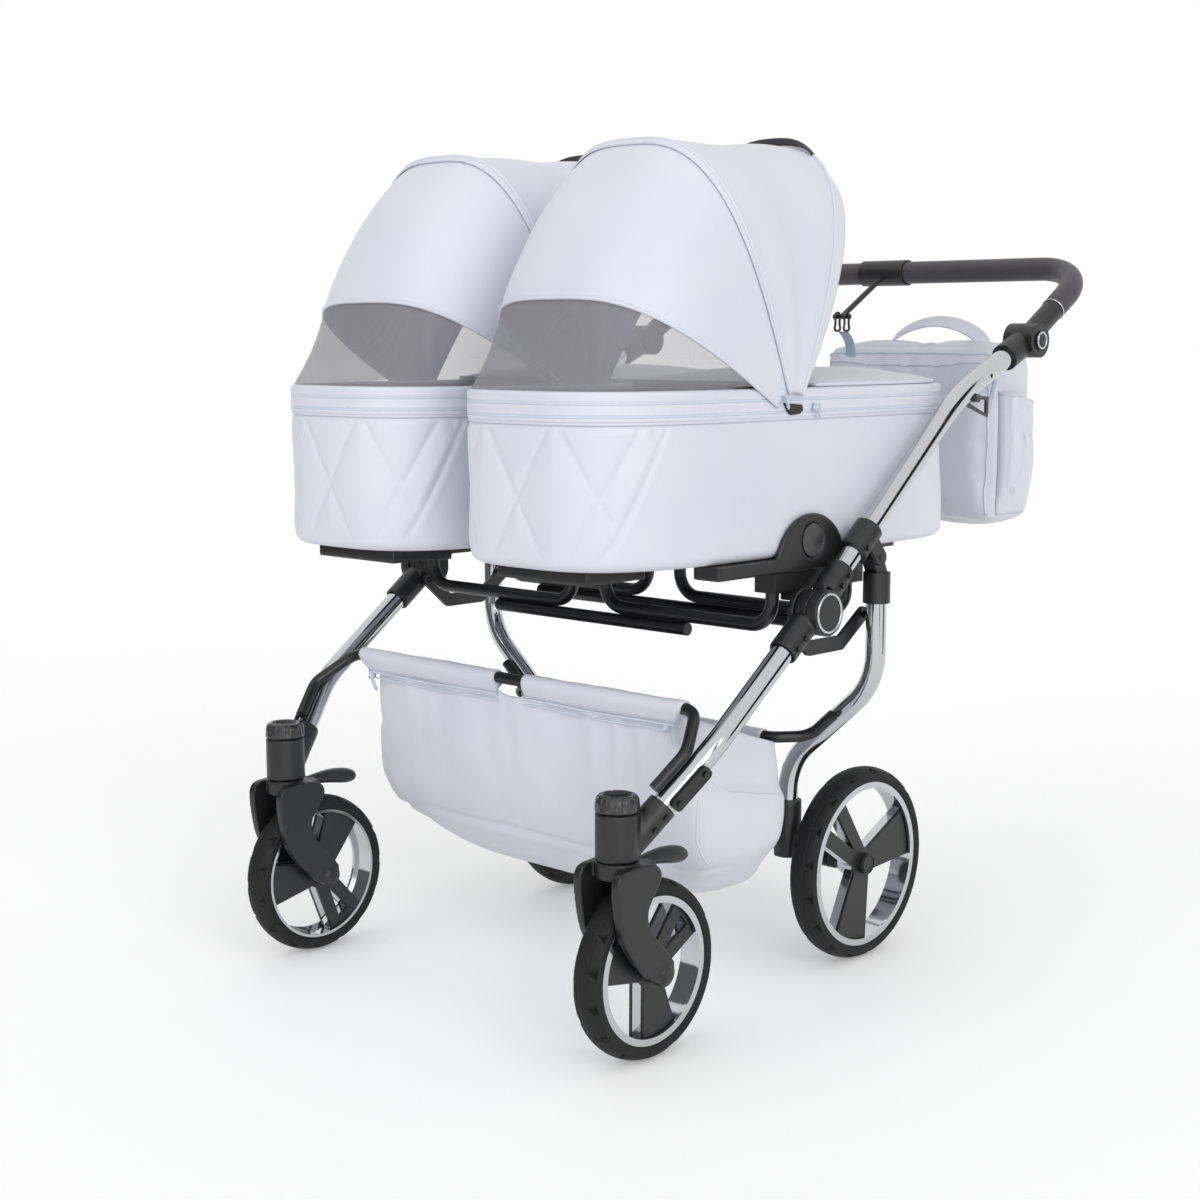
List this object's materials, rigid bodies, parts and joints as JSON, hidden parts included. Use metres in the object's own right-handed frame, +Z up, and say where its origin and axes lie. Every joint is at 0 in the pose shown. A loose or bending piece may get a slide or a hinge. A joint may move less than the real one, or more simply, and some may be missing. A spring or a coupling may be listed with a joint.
{
  "type": "twin pram",
  "caption": "Twin pram: carrycots side by side with hoods, on a folding tube chassis with swivel front casters, handlebar, shopping basket and changing bag.",
  "frame": {"origin": "on the ground under the centre of the bounding box", "axes": "+Z up; -Y is the front with the swivel wheels, the handlebar is at +Y; +X is the left of a person pushing it"},
  "size_m": [0.808, 1.1, 1.1607],
  "materials": {
    "chrome": "mirror plated",
    "black_plastic": "satin moulded",
    "black_steel": "satin powder coat",
    "rubber": "matte rubber",
    "leatherette": "pale icy blue coated cloth, soft sheen",
    "grip_leather": "stitched black leatherette",
    "grey_plastic": "smoke grey moulded",
    "lining": "woven cotton",
    "net": "fine open net"
  },
  "bodies": {
    "front_frame": {"front_tubes": "chrome", "hinge_bases": "black_plastic", "caster_housings": "black_plastic", "carrier_tubes": "black_steel", "cot_sockets": "black_plastic", "basket_front_rail": "black_steel", "basket": "leatherette", "front_screws": "black_steel"},
    "upper_frame": {"upper_tubes": "chrome", "hinge_tongues": "black_plastic", "leg_clamps": "black_plastic", "handle_sockets": "black_plastic", "bag_hook": "grey_plastic", "bag": "leatherette", "clamp_screws": "black_steel"},
    "handlebar": {"handle_bar": "black_plastic", "handle_grip": "grip_leather", "bag_rod": "black_plastic"},
    "snap_hooks": {"bag_clips": "grey_plastic"},
    "rear_leg_frame": {"rear_legs": "chrome", "leg_fittings": "black_plastic", "axle_brackets": "black_plastic", "rear_axle": "chrome", "basket_rear_rail": "black_steel"},
    "brake": {"brake_bar": "black_plastic"},
    "links": {"fold_links": "black_steel"},
    "caster_left": {"fork_left": "black_plastic"},
    "swivel_lock_left": {"lock_lever_left": "black_plastic"},
    "post_cap_left": {"release_cap_left": "grey_plastic"},
    "front_wheel_left": {"front_tyre_left": "rubber", "front_rim_left": "chrome"},
    "rear_wheel_left": {"rear_tyre_left": "rubber", "rear_rim_left": "chrome"},
    "cot_left": {"cot_tub_left": "leatherette", "cot_latches_left": "black_plastic", "cot_apron_left": "leatherette", "cot_mattress_left": "lining", "hood_mesh_left": "net", "hood_front_left": "leatherette"},
    "hood_left": {"hood_rear_left": "leatherette", "hood_bow_left": "grip_leather"},
    "cot_release_left": {"cot_button_left": "grey_plastic"},
    "tilt_button_left": {"handle_button_left": "chrome"},
    "caster_right": {"fork_right": "black_plastic"},
    "swivel_lock_right": {"lock_lever_right": "black_plastic"},
    "post_cap_right": {"release_cap_right": "grey_plastic"},
    "front_wheel_right": {"front_tyre_right": "rubber", "front_rim_right": "chrome"},
    "rear_wheel_right": {"rear_tyre_right": "rubber", "rear_rim_right": "chrome"},
    "cot_right": {"cot_tub_right": "leatherette", "cot_latches_right": "black_plastic", "cot_apron_right": "leatherette", "cot_mattress_right": "lining", "hood_mesh_right": "net", "hood_front_right": "leatherette"},
    "hood_right": {"hood_rear_right": "leatherette", "hood_bow_right": "grip_leather"},
    "cot_release_right": {"cot_button_right": "grey_plastic"},
    "tilt_button_right": {"handle_button_right": "chrome"}
  },
  "joints": [
    {"name": "frame_fold", "type": "hinge", "parent": "front_frame", "child": "upper_frame", "pos_m": [0, -0.163, 0.542], "axis": [1, 0, 0], "range_deg": [-50, 0], "deforming": ["basket"]},
    {"name": "leg_fold", "type": "hinge", "parent": "upper_frame", "child": "rear_leg_frame", "pos_m": [0, -0.032, 0.603], "axis": [1, 0, 0], "range_deg": [0, 14.2]},
    {"name": "link_turn", "type": "hinge", "parent": "front_frame", "child": "links", "pos_m": [0, -0.182, 0.524], "axis": [1, 0, 0], "range_deg": [-44.8, 0]},
    {"name": "handle_tilt", "type": "hinge", "parent": "upper_frame", "child": "handlebar", "pos_m": [0, 0.346, 0.892], "axis": [1, 0, 0], "range_deg": [-12, 45]},
    {"name": "hook_swing", "type": "hinge", "parent": "handlebar", "child": "snap_hooks", "pos_m": [0, 0.407, 0.93], "axis": [1, 0, 0], "range_deg": [-40, 40]},
    {"name": "brake_press", "type": "hinge", "parent": "rear_leg_frame", "child": "brake", "pos_m": [0, 0.03, 0.16], "axis": [1, 0, 0], "range_deg": [-18, 0]},
    {"name": "caster_swivel_left", "type": "hinge", "parent": "front_frame", "child": "caster_left", "pos_m": [0.326, -0.485, 0.3], "axis": [0, 0, 1], "continuous": true},
    {"name": "front_wheel_spin_left", "type": "hinge", "parent": "caster_left", "child": "front_wheel_left", "pos_m": [0.326, -0.435, 0.115], "axis": [1, 0, 0], "continuous": true},
    {"name": "swivel_lock_left_lift", "type": "hinge", "parent": "caster_left", "child": "swivel_lock_left", "pos_m": [0.326, -0.445, 0.253], "axis": [1, 0, 0], "range_deg": [0, 18]},
    {"name": "post_cap_left_press", "type": "slide", "parent": "front_frame", "child": "post_cap_left", "axis": [0, 0, -1], "range_m": [0, 0.002], "stiffness_N_per_m": 600, "springref_m": -0.004},
    {"name": "rear_wheel_spin_left", "type": "hinge", "parent": "rear_leg_frame", "child": "rear_wheel_left", "pos_m": [0.28, 0.08, 0.14], "axis": [1, 0, 0], "continuous": true},
    {"name": "cot_lift_left", "type": "slide", "parent": "front_frame", "child": "cot_left", "axis": [0, 0, 1], "range_m": [0, 0.3]},
    {"name": "hood_fold_left", "type": "hinge", "parent": "cot_left", "child": "hood_left", "pos_m": [0.1805, -0.182, 0.792], "axis": [1, 0, 0], "range_deg": [0, 42], "deforming": ["hood_rear_left"]},
    {"name": "cot_release_left_press", "type": "slide", "parent": "cot_left", "child": "cot_release_left", "axis": [-1, 0, 0], "range_m": [0, 0.003], "stiffness_N_per_m": 600, "springref_m": -0.004},
    {"name": "tilt_button_left_press", "type": "slide", "parent": "handlebar", "child": "tilt_button_left", "axis": [-1, 0, 0], "range_m": [0, 0.003], "stiffness_N_per_m": 600, "springref_m": -0.004},
    {"name": "caster_swivel_right", "type": "hinge", "parent": "front_frame", "child": "caster_right", "pos_m": [-0.326, -0.485, 0.3], "axis": [0, 0, 1], "continuous": true},
    {"name": "front_wheel_spin_right", "type": "hinge", "parent": "caster_right", "child": "front_wheel_right", "pos_m": [-0.326, -0.435, 0.115], "axis": [1, 0, 0], "continuous": true},
    {"name": "swivel_lock_right_lift", "type": "hinge", "parent": "caster_right", "child": "swivel_lock_right", "pos_m": [-0.326, -0.445, 0.253], "axis": [1, 0, 0], "range_deg": [0, 18]},
    {"name": "post_cap_right_press", "type": "slide", "parent": "front_frame", "child": "post_cap_right", "axis": [0, 0, -1], "range_m": [0, 0.002], "stiffness_N_per_m": 600, "springref_m": -0.004},
    {"name": "rear_wheel_spin_right", "type": "hinge", "parent": "rear_leg_frame", "child": "rear_wheel_right", "pos_m": [-0.28, 0.08, 0.14], "axis": [1, 0, 0], "continuous": true},
    {"name": "cot_lift_right", "type": "slide", "parent": "front_frame", "child": "cot_right", "axis": [0, 0, 1], "range_m": [0, 0.3]},
    {"name": "hood_fold_right", "type": "hinge", "parent": "cot_right", "child": "hood_right", "pos_m": [-0.1805, -0.182, 0.792], "axis": [1, 0, 0], "range_deg": [0, 42], "deforming": ["hood_rear_right"]},
    {"name": "cot_release_right_press", "type": "slide", "parent": "cot_right", "child": "cot_release_right", "axis": [1, 0, 0], "range_m": [0, 0.003], "stiffness_N_per_m": 600, "springref_m": -0.004},
    {"name": "tilt_button_right_press", "type": "slide", "parent": "handlebar", "child": "tilt_button_right", "axis": [1, 0, 0], "range_m": [0, 0.003], "stiffness_N_per_m": 600, "springref_m": -0.004}
  ],
  "couplings": [
    {"joint": "leg_fold", "follows": "frame_fold", "ratio": -0.2822},
    {"joint": "link_turn", "follows": "frame_fold", "ratio": 0.8939}
  ]
}
